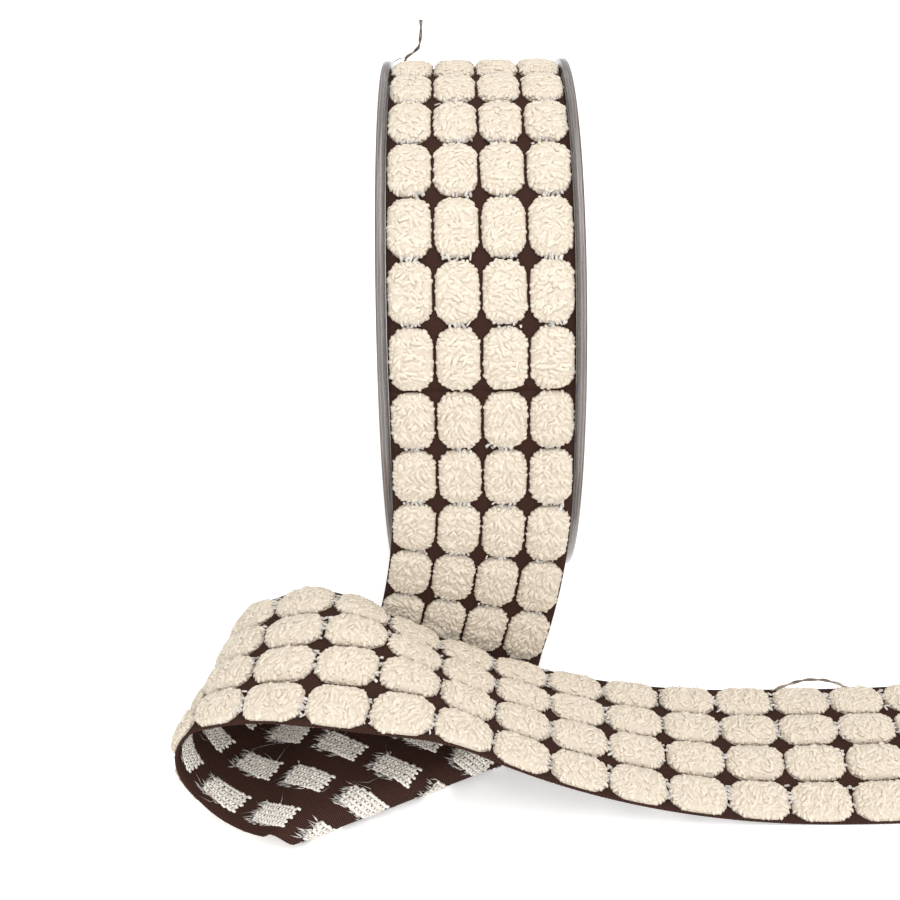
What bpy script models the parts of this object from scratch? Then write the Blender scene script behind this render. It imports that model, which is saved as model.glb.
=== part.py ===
"""A 40 mm chenille ribbon wound on a clear reel, its loose end dropped, folded back on itself and run off.

Sizes are millimetres and degrees. The meshes are made in metres, with X along the reel's axle, Y away
from the viewer and Z up. The origin is on the floor, under the middle of the whole piece's extent.
"""

from collections import namedtuple
from math import atan2, cos, pi, radians, sin

import bmesh
import bpy
import numpy as np

METRES = 0.001
GAP = 0.3

# Where the reel stands, from the origin. The loose end lies in front of it and to its right.
REEL_PLACE = (-33.9, 27.5, 0.0)

# The reel: two flanges and the tube between them, with a bore for a spindle.
REEL_RADIUS = 64.0
REEL_SIDES = 72
TUBE_RADIUS = 28.0
BORE_RADIUS = 26.0
FLANGE = 1.9
SHARP_FROM = 30.0

# The ribbon: a woven ground with pile blocks in four columns. Its width is 40 mm.
COLUMN = 10.0
COLUMNS = 4
ROW = 13.45
GROUND = 0.8
PILE = 2.0
HALF_WIDTH = COLUMN * COLUMNS / 2

# The finishes: cream pile on a dark brown ground, and clear plastic.
GROUND_COLOUR = (0.05, 0.022, 0.012)
PILE_COLOUR = (0.72, 0.6, 0.42)
CLOTH_ROUGHNESS = 0.9
PLASTIC_COLOUR = (0.8, 0.82, 0.84)
PLASTIC_ROUGHNESS = 0.15
PLASTIC_ALPHA = 0.45
PILE_SHOWS_FROM = 0.5

# A block rises from its cell's edge over these shares of the cell, and its corners are cut off.
COLUMN_STEPS = (0.0, 0.13, 0.5, 0.87)
ROW_STEPS = (0.0, 0.13, 0.5, 0.87)
FOLDED_ROW_STEPS = (0.0, 0.13, 0.25, 0.37, 0.5, 0.62, 0.75, 0.87)
CORNER_POWER = 2.5
EDGE_POWER = 8
REVERSE_LINES = (-20.0, -17.0, -12.0, -6.0, 0.0, 6.0, 12.0, 17.0, 20.0)

# The roll: the outermost turn has 28 rows, and sinks by one layer as it goes round and under the loose end.
ROWS_ROUND = 28
GROUND_RADIUS = 62.2
LAYER = 3.3
LEAVES_AT = 12.9
SINKS_FROM = 0.2

# The loose end, from where it leaves the roll. A sway bends it sideways, within its own plane.
TAIL_ROWS = 28
FOLDED_ROWS = range(5, 14)
Sway = namedtuple("Sway", "name start length angle")
SWAYS = [
    Sway("lean", 21.0, 42.0, -14.0),
    Sway("run_off", 319.0, 60.0, 9.0),
]

# A fold bends it out of its plane, after a gap of straight ribbon. A positive angle closes it on the pile
# side. The slant is the fold's turn from square. A settling fold lays the ribbon level on the floor, so its
# gap, slant and angle follow from the folds before it. They are worked out from a place a level run beyond.
Fold = namedtuple("Fold", "name gap slant angle radius")
SETTLES = None
LEVEL_RUN = 60.0
FOLDS = [
    Fold("on_reel", 0.0, 0.0, -3.9, GROUND_RADIUS),
    Fold("hang", 23.0, 0.0, -6.0, 140.0),
    Fold("foot", SETTLES, SETTLES, SETTLES, 11.0),
    Fold("crease", 24.5, 40.0, 170.0, 3.2),
    Fold("sag", 12.0, -15.0, 34.0, 16.0),
    Fold("curl_low", 1.0, -18.0, -69.0, 13.0),
    Fold("curl_mid", 0.0, -9.0, -114.0, 10.5),
    Fold("curl_top", 0.0, -19.0, -34.0, 40.0),
    Fold("brow", 0.0, 40.0, -33.0, 20.0),
    Fold("landing", SETTLES, SETTLES, SETTLES, 135.0),
]

# How far the middle stands above the selvedges, and how much the rows lean, along the loose end.
Crown = namedtuple("Crown", "fold offset rise")
CROWNS = [
    Crown("curl_top", -25.0, 0.0),
    Crown("curl_top", 0.0, 1.5),
    Crown("landing", -15.0, 1.5),
    Crown("landing", 15.0, 2.0),
    Crown("landing", 30.0, 2.0),
    Crown("landing", 46.0, 0.0),
]
Lean = namedtuple("Lean", "row angle")
LEANS = [
    Lean(0.0, 0.0),
    Lean(7.0, 0.0),
    Lean(9.5, -16.0),
    Lean(12.0, -16.0),
    Lean(14.2, 4.0),
    Lean(28.0, 5.0),
]


def pillow(across, along):
    """How high a pile block stands at these places of its cell, each from -1 to 1."""
    reach = (abs(across) ** CORNER_POWER + abs(along) ** CORNER_POWER) ** (1 / CORNER_POWER)
    return PILE * max(0.0, 1 - reach**EDGE_POWER) ** 0.5


def steps_of(cells, steps):
    """The grid's lines over a run of cells: each one's place, in cells, and its place within its cell."""
    lines = [(cell + step, 2 * step - 1) for cell, cell_steps in zip(cells, steps) for step in cell_steps]
    return lines + [(cells[-1] + 1, 1.0)]


ACROSS = steps_of(range(COLUMNS), [COLUMN_STEPS] * COLUMNS)
ACROSS_LINES = [COLUMN * place - HALF_WIDTH for place, _ in ACROSS]


def laid_flat(s, t, sways):
    """The ribbon's pattern laid flat: s along its middle and t to its left, as x, y and heading."""
    x = np.zeros_like(s)
    y = np.zeros_like(s)
    heading = np.zeros_like(s)
    reached = 0.0
    for sway in sways:
        run = np.clip(s - reached, -np.inf if reached == 0 else 0, sway.start - reached)
        part = np.clip(s - sway.start, 0, sway.length)
        turn = np.radians(sway.angle) * part / sway.length
        chord = part * np.sinc(turn / 2 / pi)
        x = x + run * np.cos(heading) + chord * np.cos(heading + turn / 2)
        y = y + run * np.sin(heading) + chord * np.sin(heading + turn / 2)
        heading = heading + turn
        reached = sway.start + sway.length
    run = np.maximum(s - reached, 0)
    x = x + run * np.cos(heading) - t * np.sin(heading)
    y = y + run * np.sin(heading) + t * np.cos(heading)
    return x, y, heading


def fold_lines(folds, sways):
    """Each fold's start on the flat pattern, with its direction and arc, and each fold's end."""
    lines = []
    ends = {}
    reached = 0.0
    for fold in folds:
        reached += fold.gap
        x, y, heading = laid_flat(np.array([reached]), np.array([0.0]), sways)
        arc = abs(radians(fold.angle)) * fold.radius
        lines.append((x[0], y[0], heading[0] + radians(fold.slant), arc, fold))
        reached += arc / cos(radians(fold.slant))
        ends[fold.name] = reached
    return lines, ends


def folded(s, t, height, folds, sways, start):
    """Where the ribbon's points lie once every fold is made, from the last one back to the roll."""
    flat_x, flat_y, _ = laid_flat(s, t, sways)
    x, y, z = flat_x, flat_y, height
    lines, _ = fold_lines(folds, sways)
    for from_x, from_y, way, arc, fold in reversed(lines):
        past = (flat_x - from_x) * cos(way) + (flat_y - from_y) * sin(way)
        ahead = (x - from_x) * cos(way) + (y - from_y) * sin(way)
        aside = (y - from_y) * cos(way) - (x - from_x) * sin(way)
        side = 1 if fold.angle > 0 else -1
        lever = fold.radius - side * z
        bend = np.where(past > arc, arc, ahead) / fold.radius
        beyond = np.where(past > arc, ahead - arc, 0.0)
        bent_ahead = lever * np.sin(bend) + beyond * np.cos(bend)
        bent_up = side * (fold.radius - lever * np.cos(bend) + beyond * np.sin(bend))
        ahead = np.where(past > 0, bent_ahead, ahead)
        z = np.where(past > 0, bent_up, z)
        x = from_x + ahead * cos(way) - aside * sin(way)
        y = from_y + ahead * sin(way) + aside * cos(way)
    origin, ahead_way, left_way, out_way = start
    return origin + np.outer(x, ahead_way) + np.outer(y, left_way) + np.outer(z, out_way)


def settling(fold, folds, sways, start):
    """The fold that lays the ribbon level, with its ground on the floor, after the folds made so far."""
    reached = fold_lines(folds, sways)[1][folds[-1].name]
    far = reached + LEVEL_RUN
    along, across = np.array([far, far + 1, far]), np.array([0.0, 0.0, 1.0])
    places = folded(along, across, np.zeros(3), folds, sways, start)
    ahead = places[1] - places[0]
    left = places[2] - places[0]
    out = np.cross(ahead, left)
    uphill = np.array([0.0, 0.0, 1.0]) - out[2] * out
    side = -np.sign(uphill @ ahead)
    downhill = -side * uphill / np.linalg.norm(uphill)
    angle = np.arccos(out[2])
    slant = atan2(downhill @ left, downhill @ ahead)
    begins_at = GROUND + side * fold.radius * (1 - cos(angle))
    gap = far + (begins_at - places[0][2]) / ahead[2] - reached
    return Fold(fold.name, gap, np.degrees(slant), side * np.degrees(angle), fold.radius)


def settled(folds, sways, start):
    """The table of folds with its settling folds worked out."""
    done = []
    for fold in folds:
        done.append(settling(fold, done, sways, start) if fold.gap is SETTLES else fold)
    return done


def leaving_frame(axle_height):
    """Where the loose end leaves the roll: the point, and the ways ahead, to its left and out."""
    up = radians(LEAVES_AT)
    point = np.array([0.0, -GROUND_RADIUS * cos(up), axle_height + GROUND_RADIUS * sin(up)])
    return point, np.array([0, -sin(up), -cos(up)]), np.array([1.0, 0, 0]), np.array([0, -cos(up), sin(up)])


def grid_faces(grid, flip=False):
    """Four-sided faces between the lines of a grid of points."""
    faces = []
    for line, after in zip(grid, grid[1:]):
        for near, far, far_after, near_after in zip(line, line[1:], after[1:], after):
            face = (near, near_after, far_after, far)
            faces.append(face[::-1] if flip else face)
    return faces


def numbered(lines, first):
    """The same lines of points as their numbers in the mesh, starting at first."""
    numbers = []
    for line in lines:
        numbers.append(list(range(first, first + len(line))))
        first += len(line)
    return numbers


def material(name, colour, roughness, alpha=1.0):
    """A plain finish."""
    finish = bpy.data.materials.new(name)
    finish.use_nodes = True
    shader = finish.node_tree.nodes["Principled BSDF"]
    shader.inputs["Base Color"].default_value = (*colour, 1)
    shader.inputs["Roughness"].default_value = roughness
    shader.inputs["Metallic"].default_value = 0.0
    shader.inputs["Alpha"].default_value = alpha
    return finish


def placed_object(name, mesh):
    """An object of this mesh, which is modelled about the reel, at the reel's place."""
    piece = bpy.data.objects.new(name, mesh)
    piece.location = [METRES * value for value in REEL_PLACE]
    bpy.context.scene.collection.objects.link(piece)


def ribbon_object(name, points, faces, raised):
    """A mesh object in metres, with the pile's finish where it stands up and the ground's elsewhere."""
    mesh = bpy.data.meshes.new(name)
    mesh.from_pydata([tuple(METRES * value for value in point) for point in points], [], faces)
    mesh.materials.append(material(name + "_ground", GROUND_COLOUR, CLOTH_ROUGHNESS))
    mesh.materials.append(material(name + "_pile", PILE_COLOUR, CLOTH_ROUGHNESS))
    for face in mesh.polygons:
        height = sum(raised[vertex] for vertex in face.vertices) / len(face.vertices)
        face.material_index = int(height > PILE_SHOWS_FROM)
    mesh.update()
    placed_object(name, mesh)


def build_reel(axle_height):
    """Both flanges and the tube, turned from one profile that starts half a side past the lowest point."""
    inner = HALF_WIDTH + GAP
    outer = inner + FLANGE
    profile = [
        (-outer, BORE_RADIUS), (outer, BORE_RADIUS), (outer, REEL_RADIUS), (inner, REEL_RADIUS),
        (inner, TUBE_RADIUS), (-inner, TUBE_RADIUS), (-inner, REEL_RADIUS), (-outer, REEL_RADIUS),
    ]
    half_side = pi / REEL_SIDES
    bm = bmesh.new()
    ring = []
    for x, radius in profile:
        place = (x, radius * sin(half_side), axle_height - radius * cos(half_side))
        ring.append(bm.verts.new([METRES * value for value in place]))
    edges = [bm.edges.new((first, second)) for first, second in zip(ring, ring[1:] + ring[:1])]
    axle = (0, 0, METRES * axle_height)
    bmesh.ops.spin(
        bm, geom=ring + edges, cent=axle, axis=(1, 0, 0), angle=2 * pi, steps=REEL_SIDES, use_merge=True
    )
    bmesh.ops.recalc_face_normals(bm, faces=bm.faces)
    mesh = bpy.data.meshes.new("reel")
    bm.to_mesh(mesh)
    bm.free()
    mesh.shade_smooth()
    mesh.set_sharp_from_angle(angle=radians(SHARP_FROM))
    mesh.materials.append(material("clear_plastic", PLASTIC_COLOUR, PLASTIC_ROUGHNESS, PLASTIC_ALPHA))
    placed_object("reel", mesh)


def build_roll(axle_height):
    """The wound ribbon: its outermost turn with the pile blocks, solid down to the reel's tube."""
    points = []
    raised = []
    along = steps_of(range(ROWS_ROUND), [ROW_STEPS] * ROWS_ROUND)
    for row, along_place in along:
        turn = row / ROWS_ROUND
        angle = radians(LEAVES_AT) + 2 * pi * turn
        ground = GROUND_RADIUS - LAYER * max(0.0, turn - SINKS_FROM) / (1 - SINKS_FROM)
        for t, (_, across_place) in zip(ACROSS_LINES, ACROSS):
            height = pillow(across_place, along_place)
            radius = ground + height
            points.append((t, -radius * cos(angle), axle_height + radius * sin(angle)))
            raised.append(height)
    outside = numbered([ACROSS] * len(along), 0)
    rings = []
    for t in (-HALF_WIDTH, HALF_WIDTH):
        rings.append(list(range(len(points), len(points) + len(along) - 1)))
        for row, _ in along[:-1]:
            angle = radians(LEAVES_AT) + 2 * pi * row / ROWS_ROUND
            radius = TUBE_RADIUS + GAP
            points.append((t, -radius * cos(angle), axle_height + radius * sin(angle)))
            raised.append(0.0)
    faces = grid_faces(outside, flip=True)
    faces.append(outside[0][::-1] + outside[-1])
    left, right = rings
    for ring, column, flip in ((left, 0, False), (right, -1, True)):
        edge = [line[column] for line in outside]
        first, last = edge[0], edge[-1]
        side = [(last, ring[1], ring[0]), (last, first, edge[1], ring[1])]
        for near, after, inner_after, inner in zip(edge[1:], edge[2:], ring[2:] + ring[:1], ring[1:]):
            side.append((near, after, inner_after, inner))
        faces += [face[::-1] for face in side] if flip else side
    for number in range(len(left)):
        after = (number + 1) % len(left)
        faces.append((left[number], left[after], right[after], right[number]))
    ribbon_object("ribbon_roll", points, faces, raised)


def build_tail(axle_height):
    """The loose end as one sheet, with its pile blocks, from the roll to its cut end."""
    start = leaving_frame(axle_height)
    folds = settled(FOLDS, SWAYS, start)
    _, ends = fold_lines(folds, SWAYS)
    dense = [FOLDED_ROW_STEPS if row in FOLDED_ROWS else ROW_STEPS for row in range(TAIL_ROWS)]
    along = steps_of(range(TAIL_ROWS), dense)

    def placed(lines, height_of):
        """Every point of the grid: its place, and its height above the ground's pile face."""
        row, t = (grid.ravel() for grid in np.meshgrid([row for row, _ in along], lines, indexing="ij"))
        lean = np.interp(row, [lean.row for lean in LEANS], [lean.angle for lean in LEANS])
        s = np.maximum(ROW * row, GAP) + t * np.tan(np.radians(lean))
        crown_places = [ends[crown.fold] + crown.offset for crown in CROWNS]
        rise = np.interp(s, crown_places, [crown.rise for crown in CROWNS])
        flat_edge = REVERSE_LINES[-2]
        arch = rise * np.maximum(0, 1 - (t / flat_edge) ** 2)
        height = np.array(height_of)
        return folded(s, t, height + arch, folds, SWAYS, start), height

    blocks = [pillow(across_place, along_place) for _, along_place in along for _, across_place in ACROSS]
    face_points, face_heights = placed(ACROSS_LINES, blocks)
    back_points, back_heights = placed(REVERSE_LINES, [-GROUND] * (len(along) * len(REVERSE_LINES)))
    face = numbered([ACROSS] * len(along), 0)
    back = numbered([REVERSE_LINES] * len(along), len(face_points))
    faces = grid_faces(face) + grid_faces(back, flip=True)
    for line, under, after, under_after in zip(face, back, face[1:], back[1:]):
        faces.append((line[0], under[0], under_after[0], after[0]))
        faces.append((line[-1], after[-1], under_after[-1], under[-1]))
    faces.append(face[0] + back[0][::-1])
    faces.append(face[-1][::-1] + back[-1])
    points = np.concatenate([face_points, back_points])
    heights = np.concatenate([face_heights, back_heights])
    ribbon_object("ribbon_tail", points.tolist(), faces, heights)


for old in list(bpy.data.objects):
    bpy.data.objects.remove(old)
AXLE_HEIGHT = REEL_RADIUS * cos(pi / REEL_SIDES)
build_reel(AXLE_HEIGHT)
build_roll(AXLE_HEIGHT)
build_tail(AXLE_HEIGHT)
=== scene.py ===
from collections import namedtuple
from math import atan2, cos, pi, radians, sin

import bpy
import numpy as np
from mathutils import Matrix, Vector


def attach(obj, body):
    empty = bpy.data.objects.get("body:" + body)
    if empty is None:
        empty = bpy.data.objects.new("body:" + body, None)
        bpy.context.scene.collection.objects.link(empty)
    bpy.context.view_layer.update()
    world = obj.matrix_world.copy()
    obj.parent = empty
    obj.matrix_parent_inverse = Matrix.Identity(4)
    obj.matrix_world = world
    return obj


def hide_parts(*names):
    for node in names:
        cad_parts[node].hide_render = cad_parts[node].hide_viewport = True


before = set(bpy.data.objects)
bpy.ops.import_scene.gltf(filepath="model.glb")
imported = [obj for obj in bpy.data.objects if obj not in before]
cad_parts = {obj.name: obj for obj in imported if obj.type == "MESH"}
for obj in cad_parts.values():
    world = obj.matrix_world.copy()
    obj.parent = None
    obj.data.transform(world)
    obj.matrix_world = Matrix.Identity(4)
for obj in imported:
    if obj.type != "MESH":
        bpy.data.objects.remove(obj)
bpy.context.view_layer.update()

METRES = 0.001

# The studio: a pale floor under four soft lamps, seen from in front and above as in the photo. The floor and
# the lamps are set in metres. All other sizes are millimetres from the floor under the reel's middle, which
# is at REEL_PLACE.
REEL_PLACE = np.array([-33.9, 27.5, 0.0])
EYE = np.array([-4.7, -291.2, 214.8])
EYE_DOWN = 33.41
EYE_LEFT = 0.604
EYE_TILT = -1.175
LENS = 50.15
LAMP_AIM = (0, 0, 0.04)
FLOOR_HALF = 4.0


def to_metres(points):
    """Points in metres and in the part's own frame."""
    return (np.asarray(points, dtype=float) + REEL_PLACE) * METRES


def place_camera():
    """The photo's camera, as it was fitted to the rows and columns of pile blocks."""
    down, yaw, tilt = radians(EYE_DOWN), radians(-EYE_LEFT), radians(EYE_TILT)
    ahead = Vector((sin(yaw) * cos(down), cos(yaw) * cos(down), -sin(down)))
    level = Vector((cos(yaw), -sin(yaw), 0))
    over = level.cross(ahead)
    right = cos(tilt) * level + sin(tilt) * over
    up = cos(tilt) * over - sin(tilt) * level
    data = bpy.data.cameras.new("photo_view")
    data.lens = LENS
    data.clip_start = 0.01
    camera = bpy.data.objects.new("photo_view", data)
    turn = Matrix((right, up, -ahead)).transposed().to_4x4()
    camera.matrix_world = Matrix.Translation(Vector(to_metres(EYE))) @ turn
    bpy.context.scene.collection.objects.link(camera)
    bpy.context.scene.camera = camera


def add_lamp(name, place, size, watts):
    """A square soft lamp that looks at the part's middle."""
    data = bpy.data.lights.new(name, "AREA")
    data.shape = "SQUARE"
    data.size = size
    data.energy = watts
    lamp = bpy.data.objects.new(name, data)
    lamp.location = place
    lamp.rotation_euler = (Vector(LAMP_AIM) - Vector(place)).to_track_quat("-Z", "Y").to_euler()
    bpy.context.scene.collection.objects.link(lamp)


def add_floor():
    """A wide pale floor with a faint mottle."""
    mesh = bpy.data.meshes.new("floor")
    half = FLOOR_HALF
    corners = [(-half, -half, 0), (half, -half, 0), (half, half, 0), (-half, half, 0)]
    mesh.from_pydata(corners, [], [(0, 1, 2, 3)])
    floor = bpy.data.objects.new("floor", mesh)
    bpy.context.scene.collection.objects.link(floor)
    paint = bpy.data.materials.new("pale_floor")
    paint.use_nodes = True
    nodes, links = paint.node_tree.nodes, paint.node_tree.links
    shader = nodes["Principled BSDF"]
    shader.inputs["Roughness"].default_value = 0.9
    mottle = nodes.new("ShaderNodeTexNoise")
    mottle.inputs["Scale"].default_value = 3.0
    tones = nodes.new("ShaderNodeValToRGB")
    tones.color_ramp.elements[0].color = (0.9, 0.9, 0.9, 1)
    tones.color_ramp.elements[1].color = (0.93, 0.93, 0.93, 1)
    links.new(mottle.outputs["Fac"], tones.inputs["Fac"])
    links.new(tones.outputs["Color"], shader.inputs["Base Color"])
    links.new(tones.outputs["Color"], shader.inputs["Emission Color"])
    shader.inputs["Emission Strength"].default_value = 0.36
    mesh.materials.append(paint)


def light_room():
    """Soft white light from the room and from four lamps."""
    world = bpy.data.worlds.new("soft_room")
    world.use_nodes = True
    sky = world.node_tree.nodes["Background"]
    sky.inputs["Color"].default_value = (1, 1, 1, 1)
    sky.inputs["Strength"].default_value = 0.64
    bpy.context.scene.world = world
    add_lamp("key", (-0.3, -0.65, 1.0), 1.0, 2.2)
    add_lamp("front", (-0.1, -1.0, 0.3), 0.9, 3.0)
    add_lamp("fill", (0.7, -0.7, 0.7), 0.9, 3.0)
    add_lamp("top", (0.1, -0.15, 1.1), 1.0, 7.5)
    bpy.context.scene.view_settings.view_transform = "Standard"


place_camera()
add_floor()
light_room()

# The reel: two clear moulded discs, each with a bead round its rim and a collar round its bore, on a clear
# tube for a spindle. Its rims stand on the floor on a small flat.
REEL_RADIUS = 64.0
REEL_SIDES = 72
TUBE_RADIUS = 28.0
BORE_RADIUS = 26.0
FLANGE = 1.9
INNER_FACE = 20.3
COLLAR = 2.2
BEAD = 2.8
BEAD_SLOPE = 0.4
DISC_SUNK = 0.5
EDGE_BREAK = 0.25
BORE_BREAK = 0.3
RIM_BREAK = 0.35
RIM_DEPTH = 5.6
AXLE_HEIGHT = REEL_RADIUS * cos(pi / REEL_SIDES)


def add_piece(name, points, faces, materials, node=None, material_of=None, uv=None):
    """A smooth mesh piece from points in millimetres, riding on the one body."""
    mesh = bpy.data.meshes.new(name)
    mesh.from_pydata(to_metres(points).tolist(), [], faces)
    for finish in materials:
        mesh.materials.append(finish)
    if material_of is not None:
        mesh.polygons.foreach_set("material_index", np.asarray(material_of, dtype=np.int32))
    if uv is not None:
        corners = np.empty(len(mesh.loops), dtype=np.int32)
        mesh.loops.foreach_get("vertex_index", corners)
        layer = mesh.uv_layers.new(name="weave")
        layer.data.foreach_set("uv", np.asarray(uv, dtype=np.float32)[corners].ravel())
    mesh.polygons.foreach_set("use_smooth", [True] * len(mesh.polygons))
    mesh.update()
    piece = bpy.data.objects.new(name, mesh)
    bpy.context.scene.collection.objects.link(piece)
    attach(piece, "root")
    if node:
        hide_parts(node)
    return piece


def new_finish(name):
    """An empty finish, with its nodes, links and shader."""
    finish = bpy.data.materials.new(name)
    finish.use_nodes = True
    tree = finish.node_tree
    return finish, tree.nodes, tree.links, tree.nodes["Principled BSDF"]


def ramp_of(nodes, links, source, stops):
    """A colour ramp on a source, from pairs of place and colour."""
    ramp = nodes.new("ShaderNodeValToRGB")
    while len(ramp.color_ramp.elements) < len(stops):
        ramp.color_ramp.elements.new(0.5)
    for element, (place, colour) in zip(ramp.color_ramp.elements, stops):
        element.position = place
        element.color = (*colour, 1)
    links.new(source, ramp.inputs["Fac"])
    return ramp


def clear_plastic(name, alpha, stops):
    """Clear moulded plastic, its colour banded from the flange's inner face (0) to its outer one (1) and
    faintly mottled.
    """
    finish, nodes, links, shader = new_finish(name)
    where = nodes.new("ShaderNodeTexCoord")
    parts = nodes.new("ShaderNodeSeparateXYZ")
    links.new(where.outputs["Object"], parts.inputs["Vector"])
    aside = nodes.new("ShaderNodeMath")
    aside.operation = "SUBTRACT"
    aside.inputs[1].default_value = REEL_PLACE[0] * METRES
    links.new(parts.outputs["X"], aside.inputs[0])
    either = nodes.new("ShaderNodeMath")
    either.operation = "ABSOLUTE"
    links.new(aside.outputs["Value"], either.inputs[0])
    through = nodes.new("ShaderNodeMapRange")
    through.inputs["From Min"].default_value = INNER_FACE * METRES
    through.inputs["From Max"].default_value = (INNER_FACE + FLANGE) * METRES
    links.new(either.outputs["Value"], through.inputs["Value"])
    flow = nodes.new("ShaderNodeTexNoise")
    flow.inputs["Scale"].default_value = 160.0
    flow.inputs["Detail"].default_value = 4.0
    links.new(where.outputs["Object"], flow.inputs["Vector"])
    mixed = nodes.new("ShaderNodeMix")
    mixed.inputs["Factor"].default_value = 0.22
    links.new(through.outputs["Result"], mixed.inputs["A"])
    links.new(flow.outputs["Fac"], mixed.inputs["B"])
    tones = ramp_of(nodes, links, mixed.outputs["Result"], stops)
    links.new(tones.outputs["Color"], shader.inputs["Base Color"])
    bump = nodes.new("ShaderNodeBump")
    bump.inputs["Strength"].default_value = 0.25
    bump.inputs["Distance"].default_value = 0.0002
    links.new(tones.outputs["Color"], bump.inputs["Height"])
    links.new(bump.outputs["Normal"], shader.inputs["Normal"])
    shader.inputs["Roughness"].default_value = 0.22
    shader.inputs["IOR"].default_value = 1.5
    shader.inputs["Coat Weight"].default_value = 0.6
    shader.inputs["Coat Roughness"].default_value = 0.12
    shader.inputs["Alpha"].default_value = alpha
    return finish


def turned(profile, sides):
    """Points and faces of a closed ring, turned about the axle from (x, radius) pairs."""
    points = []
    for side in range(sides):
        angle = 2 * pi * (side + 0.5) / sides
        points += [(x, radius * sin(angle), AXLE_HEIGHT - radius * cos(angle)) for x, radius in profile]
    count = len(profile)
    faces = []
    for side in range(sides):
        after = (side + 1) % sides
        for k in range(count):
            nxt = (k + 1) % count
            faces.append((side * count + k, side * count + nxt, after * count + nxt, after * count + k))
    return points, faces


def flange_profile(side):
    """Half of the reel: from the bore, out along the flange, over its rim's bead and back to the tube."""
    inner, outer = side * INNER_FACE, side * (INNER_FACE + FLANGE)
    slant, sunk = side * EDGE_BREAK, side * DISC_SUNK
    return [
        (outer - slant, BORE_RADIUS), (outer, BORE_RADIUS + BORE_BREAK), (outer, BORE_RADIUS + COLLAR),
        (outer - sunk, BORE_RADIUS + COLLAR + BEAD_SLOPE), (outer - sunk, REEL_RADIUS - BEAD - BEAD_SLOPE),
        (outer, REEL_RADIUS - BEAD), (outer, REEL_RADIUS - RIM_BREAK), (outer - slant, REEL_RADIUS),
        (inner + slant, REEL_RADIUS), (inner, REEL_RADIUS - RIM_BREAK), (inner, REEL_RADIUS - RIM_DEPTH),
        (inner, TUBE_RADIUS),
    ]


DISC_STREAKS = [(0.2, (0.7, 0.69, 0.68)), (0.8, (0.8, 0.8, 0.79))]
# The rim's bands are painted, not the plastic's own colour: the dark browns are a painted view of the ribbon
# through the clear rim, and the pale bands are painted light caught in its edge.
RIM_PAINTED_VIEW_AND_LIGHT = [
    (0.1, (0.022, 0.011, 0.008)), (0.3, (0.046, 0.028, 0.022)), (0.4, (0.17, 0.13, 0.112)),
    (0.47, (0.04, 0.024, 0.019)), (0.6, (0.07, 0.047, 0.039)), (0.68, (0.21, 0.172, 0.153)),
    (0.78, (0.055, 0.036, 0.03)), (0.92, (0.11, 0.083, 0.072)),
]
DISC_ALPHA = 0.18
RIM_ALPHA = 0.91
disc_plastic = clear_plastic("clear_disc", DISC_ALPHA, DISC_STREAKS)
rim_plastic = clear_plastic("clear_rim", RIM_ALPHA, RIM_PAINTED_VIEW_AND_LIGHT)
profile = flange_profile(1) + flange_profile(-1)[::-1]
# The stretches of the profile that make the two rims, counted from the right side's bore.
RIM_STRETCHES = (*range(5, 10), *range(13, 18))
points, faces = turned(profile, REEL_SIDES * 2)
in_rim = [k % len(profile) in RIM_STRETCHES for k in range(len(faces))]
reel = add_piece("clear_reel", points, faces, [disc_plastic, rim_plastic], "reel", in_rim)

# The turns of ribbon under the outermost one, wound on the tube with the pile outwards. The flanges show
# their edges, brown ground and cream pile in a spiral, and the tube shows the innermost turn's reverse.
CORE_TURNS = 9
TURN = 3.3
LEAVES_AT = 12.9
SINKS_FROM = 0.2
GROUND_RADIUS = 62.2
CLOTH = 0.5
CORE_STEPS = 168
CORE_EDGE = 19.35
CORE_RADIUS = TUBE_RADIUS + 0.3
PILE_BULGE = 0.75
LEAST_BULGE = 0.35
PILE_PITCH = 13.6
TURN_LINES = ((0.0, 0.0), (0.7, 0.75), (1.5, 1.0), (2.3, 0.75), (2.6, 0.0))
PATCH_EDGES = (-17.6, -12.4, -7.6, -2.4, 2.4, 7.6, 12.4, 17.6)
PATCH_STEPS = 8
PATCH_EVERY = 12


def ground_radius(turn):
    """The outermost turn's radius, which sinks by one layer between its start and its end."""
    return GROUND_RADIUS - TURN * np.maximum(0.0, turn - SINKS_FROM) / (1 - SINKS_FROM)


def around_reel(turn, radius, t):
    """Points on the roll: a share of a turn past the loose end's line, a radius and a place across."""
    angle = radians(LEAVES_AT) + 2 * pi * turn
    return np.stack([t + 0 * angle, -radius * np.cos(angle), AXLE_HEIGHT + radius * np.sin(angle)], axis=-1)


def core_side(side):
    """One side of the wound turns: a spiral grid, raised a little where pile edges bulge out."""
    turn = np.linspace(0, 1, CORE_STEPS + 1)
    lines, bulges = [], []
    for layer in range(CORE_TURNS):
        for depth, bulge in TURN_LINES:
            lines.append(ground_radius(turn) - CLOTH - TURN * layer - depth)
            bulges.append(bulge)
    lines.append(np.full_like(turn, CORE_RADIUS))
    bulges.append(0.0)
    radius = np.maximum(np.array(lines), CORE_RADIUS)
    arc = 2 * pi * radius * turn
    blocks = np.abs(np.sin(pi * arc / PILE_PITCH)) ** 0.5
    full = LEAST_BULGE + (1 - LEAST_BULGE) * blocks
    edge = side * (CORE_EDGE + PILE_BULGE * np.array(bulges)[:, None] * full)
    points = around_reel(np.tile(turn, (len(lines), 1)), radius, edge).reshape(-1, 3)
    count = CORE_STEPS + 1
    faces, material_of = [], []
    for line in range(len(lines) - 1):
        for step in range(CORE_STEPS):
            first = line * count + step
            face = (first, first + 1, first + count + 1, first + count)
            faces.append(face if side > 0 else face[::-1])
            material_of.append(1 if line % len(TURN_LINES) < len(TURN_LINES) - 1 else 0)
    return points, faces, material_of


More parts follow.
